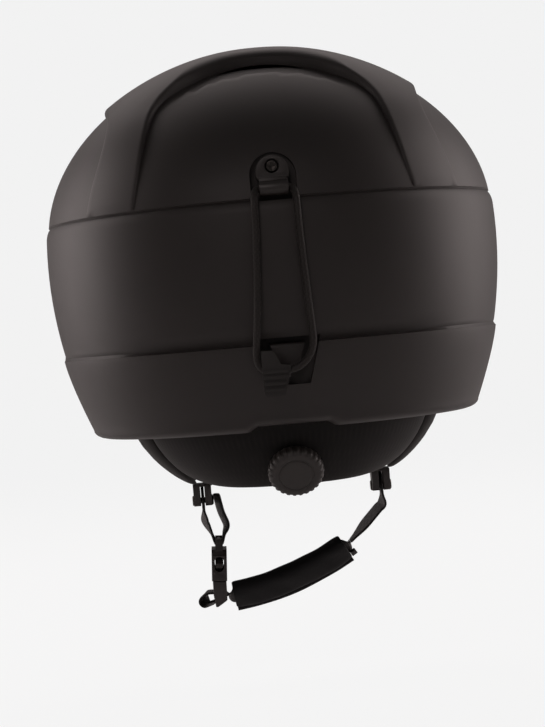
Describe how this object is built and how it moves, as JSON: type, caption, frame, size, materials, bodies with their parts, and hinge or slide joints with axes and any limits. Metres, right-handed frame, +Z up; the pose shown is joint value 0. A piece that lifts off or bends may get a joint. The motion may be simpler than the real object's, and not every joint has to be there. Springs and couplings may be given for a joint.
{
  "type": "snow helmet",
  "caption": "Hard shell snow helmet with foam liner, comfort pads, nape dial fit system, goggle strap retainer and chin strap with side release buckle.",
  "frame": {"origin": "centre of the head opening, level with the shell's rear rim", "axes": "+Z up through the crown, +Y to the rear, so the brow faces -Y and the wearer's left is +X"},
  "size_m": [0.222, 0.2817, 0.2782],
  "materials": {
    "shell": "soft matte moulded ABS",
    "foam": "beaded black foam",
    "comfort_cloth": "brushed knit",
    "ear_cloth": "smooth stretch knit over foam",
    "fleece": "short pile fleece",
    "webbing": "woven nylon",
    "screw_steel": "black zinc with worn cross recess",
    "elastic": "braided jacket",
    "tab_rubber": "moulded rubber",
    "dial_plastic": "fine moulded texture",
    "nylon": "moulded nylon"
  },
  "bodies": {
    "root": {"outer_shell": "shell", "foam_liner": "foam", "crown_pad": "comfort_cloth", "brow_pad": "comfort_cloth", "side_pad_left": "comfort_cloth", "side_pad_right": "comfort_cloth", "rear_pad": "comfort_cloth", "nape_pad": "ear_cloth", "ear_pad_left": "ear_cloth", "ear_pad_right": "ear_cloth", "dial_hanger": "nylon", "dial_housing": "nylon", "housing_cover": "nylon", "strap_bracket": "nylon", "bracket_screw": "screw_steel", "bracket_nut": "screw_steel", "tab_catch": "shell", "strap_anchors": "nylon", "leg_front_left": "webbing", "leg_rear_left": "webbing", "leg_front_right": "webbing", "leg_rear_right": "webbing", "divider_left": "nylon", "divider_right": "nylon", "divider_rivets": "screw_steel"},
    "dial": {"dial_knob": "dial_plastic", "dial_pinion": "nylon", "dial_screw": "screw_steel"},
    "band_left": {"band_left": "nylon"},
    "band_right": {"band_right": "nylon"},
    "goggle_loop": {"elastic_loop": "elastic"},
    "hook_tab": {"hook_tab": "tab_rubber"},
    "chin_strap": {"strap_left": "webbing", "strap_right": "webbing", "buckle_female": "nylon"},
    "buckle_tongue": {"buckle_male": "nylon", "buckle_prongs": "nylon", "chin_webbing": "webbing", "chin_pad": "fleece", "sleeve_flap": "fleece", "sleeve_tag": "fleece"}
  },
  "joints": [
    {"name": "dial_turn", "type": "hinge", "parent": "root", "child": "dial", "pos_m": [0, 0.09194, -0.0185], "axis": [0, 0.848, -0.5299], "range_deg": [0, 120]},
    {"name": "band_left_slide", "type": "slide", "parent": "root", "child": "band_left", "axis": [-1, 0, 0], "range_m": [0, 0.0068]},
    {"name": "band_right_slide", "type": "slide", "parent": "root", "child": "band_right", "axis": [1, 0, 0], "range_m": [0, 0.0068]},
    {"name": "loop_swing", "type": "hinge", "parent": "root", "child": "goggle_loop", "pos_m": [0, 0.134, 0.1085], "axis": [1, 0, 0], "range_deg": [0, 110]},
    {"name": "tab_tilt", "type": "hinge", "parent": "goggle_loop", "child": "hook_tab", "pos_m": [0.006, 0.136, 0.0275], "axis": [1, 0, 0], "range_deg": [0, 30]},
    {"name": "strap_swing", "type": "hinge", "parent": "root", "child": "chin_strap", "pos_m": [0, -0.01, -0.0368], "axis": [1, 0, 0], "range_deg": [-50, 50]},
    {"name": "buckle_release", "type": "slide", "parent": "chin_strap", "child": "buckle_tongue", "axis": [0.0698, 0, -0.9976], "range_m": [0, 0.024], "deforming": ["buckle_prongs"]}
  ],
  "couplings": [
    {"joint": "band_left_slide", "follows": "dial_turn", "m_per_rad": 0.0032},
    {"joint": "band_right_slide", "follows": "dial_turn", "m_per_rad": 0.0032}
  ]
}
